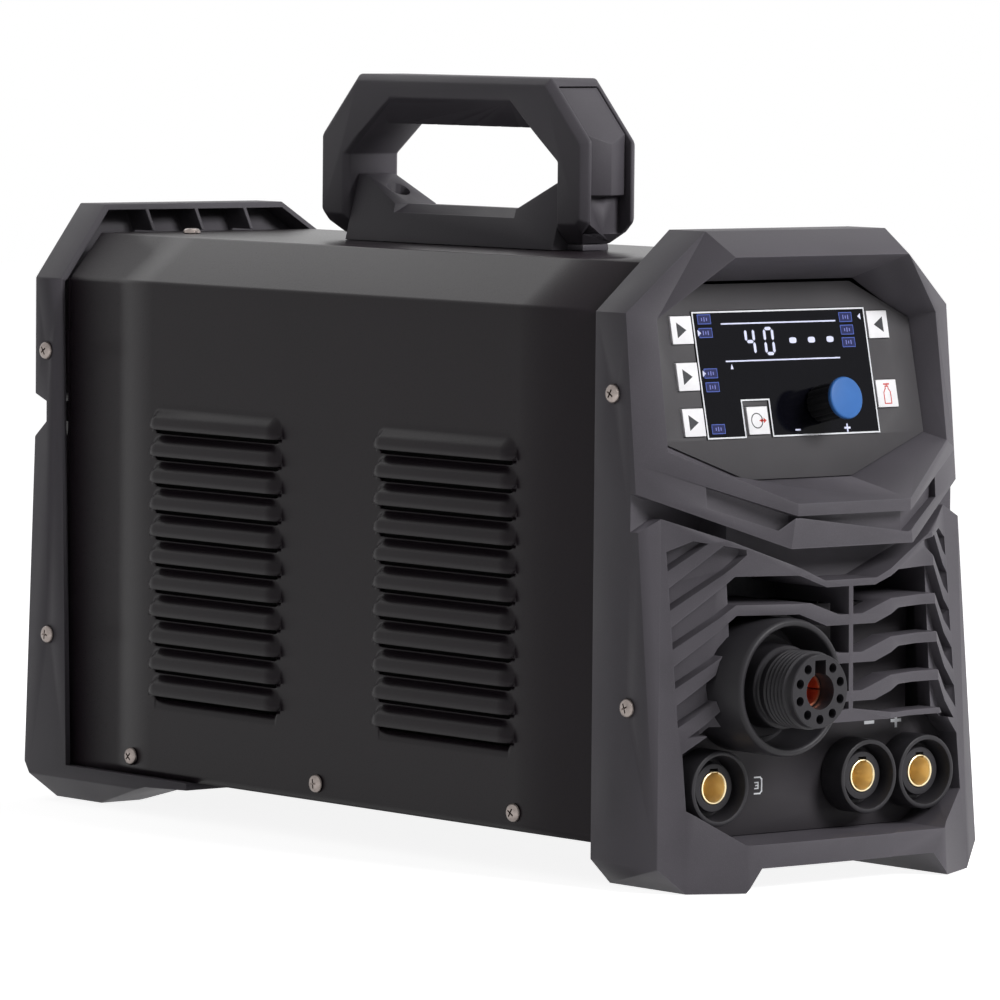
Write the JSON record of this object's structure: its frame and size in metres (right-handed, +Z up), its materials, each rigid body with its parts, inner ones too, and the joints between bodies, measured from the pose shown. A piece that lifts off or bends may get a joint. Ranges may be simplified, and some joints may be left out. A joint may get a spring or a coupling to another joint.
{
  "type": "plasma cutter unit",
  "caption": "Portable plasma cutter power unit with built-in compressor: sheet case with louvres, faceted moulded front and rear frames, control panel, torch and cable sockets, carrying handle.",
  "frame": {"origin": "on the ground under the middle of the bounding box", "axes": "+Z up, the control panel faces -Y, +X to the right seen from the front"},
  "size_m": [0.2054, 0.5538, 0.371],
  "materials": {
    "frame": "fine matt grain, moulded",
    "zinc": "zinc-plated sheet",
    "fascia": "fine matt overlay",
    "glass": "dark polished window",
    "board": "solder-mask green",
    "knob": "fine matt",
    "blue": "smooth satin",
    "bay": "fine matt",
    "insulator": "smooth glass-filled nylon",
    "copper": "turned, slightly tarnished",
    "sheet": "satin powder coat, dark",
    "aluminium": "cast and extruded, bare",
    "core": "laminated core, varnished",
    "nickel": "bright nickel plate",
    "rubber": "matt black",
    "brass": "bright turned",
    "key": "smooth satin"
  },
  "bodies": {
    "unit": {"front_frame": "frame", "inner_front_plate": "zinc", "control_panel": "fascia", "display_window": "glass", "display_board": "board", "encoder": "zinc", "connector_panel": "bay", "torch_shroud": "insulator", "torch_connector": "insulator", "torch_contact": "copper", "case_cover": "sheet", "base_tray": "sheet", "chassis_shelf": "zinc", "power_board": "board", "heat_sink": "aluminium", "transformer": "core", "compressor_motor": "aluminium", "compressor_head": "aluminium", "rear_frame": "frame", "rear_panel": "sheet", "fan_frame": "knob", "fan_guard": "nickel", "switch_body": "knob", "cable_gland": "rubber", "air_inlet": "brass", "handle_grip": "frame", "handle_plinth": "frame", "handle_shield_front": "frame", "handle_shield_rear": "frame", "socket_body_left": "insulator", "socket_contact_left": "brass", "socket_body_middle": "insulator", "socket_contact_middle": "brass", "socket_body_right": "insulator", "socket_contact_right": "brass", "screw_front_left_lower": "nickel", "screw_rear_left_lower": "nickel", "screw_front_left_upper": "nickel", "screw_rear_left_upper": "nickel", "screw_skirt_left_front": "nickel", "screw_skirt_left_middle": "nickel", "screw_skirt_left_rear": "nickel", "screw_front_right_lower": "nickel", "screw_rear_right_lower": "nickel", "screw_front_right_upper": "nickel", "screw_rear_right_upper": "nickel", "screw_skirt_right_front": "nickel", "screw_skirt_right_middle": "nickel", "screw_skirt_right_rear": "nickel", "screw_top": "nickel"},
    "button_left_upper": {"button_left_upper": "key"},
    "button_left_middle": {"button_left_middle": "key"},
    "button_left_lower": {"button_left_lower": "key"},
    "button_right_upper": {"button_right_upper": "key"},
    "button_gas_test": {"button_gas_test": "key"},
    "button_torch_mode": {"button_torch_mode": "key"},
    "knob": {"knob": "knob", "knob_cap": "blue"},
    "fan_rotor": {"fan_rotor": "knob"},
    "switch_rocker": {"switch_rocker": "knob"}
  },
  "joints": [
    {"name": "button_left_upper_press", "type": "slide", "parent": "unit", "child": "button_left_upper", "axis": [0, 0.9759, -0.2181], "range_m": [0, 0.0008], "stiffness_N_per_m": 1500},
    {"name": "button_left_middle_press", "type": "slide", "parent": "unit", "child": "button_left_middle", "axis": [0, 0.9759, -0.2181], "range_m": [0, 0.0008], "stiffness_N_per_m": 1500},
    {"name": "button_left_lower_press", "type": "slide", "parent": "unit", "child": "button_left_lower", "axis": [0, 0.9759, -0.2181], "range_m": [0, 0.0008], "stiffness_N_per_m": 1500},
    {"name": "button_right_upper_press", "type": "slide", "parent": "unit", "child": "button_right_upper", "axis": [0, 0.9759, -0.2181], "range_m": [0, 0.0008], "stiffness_N_per_m": 1500},
    {"name": "button_gas_test_press", "type": "slide", "parent": "unit", "child": "button_gas_test", "axis": [0, 0.9759, -0.2181], "range_m": [0, 0.0008], "stiffness_N_per_m": 1500},
    {"name": "button_torch_mode_press", "type": "slide", "parent": "unit", "child": "button_torch_mode", "axis": [0, 0.9759, -0.2181], "range_m": [0, 0.0008], "stiffness_N_per_m": 1500},
    {"name": "knob_turn", "type": "hinge", "parent": "unit", "child": "knob", "pos_m": [0.0174, -0.20693, 0.22], "axis": [0, -0.9759, 0.2181], "continuous": true},
    {"name": "fan_spin", "type": "hinge", "parent": "unit", "child": "fan_rotor", "pos_m": [0, 0.2201, 0.168], "axis": [0, 1, 0], "continuous": true},
    {"name": "mains_switch_tilt", "type": "hinge", "parent": "unit", "child": "switch_rocker", "pos_m": [-0.048, 0.2301, 0.076], "axis": [1, 0, 0], "range_deg": [0, 18]}
  ]
}
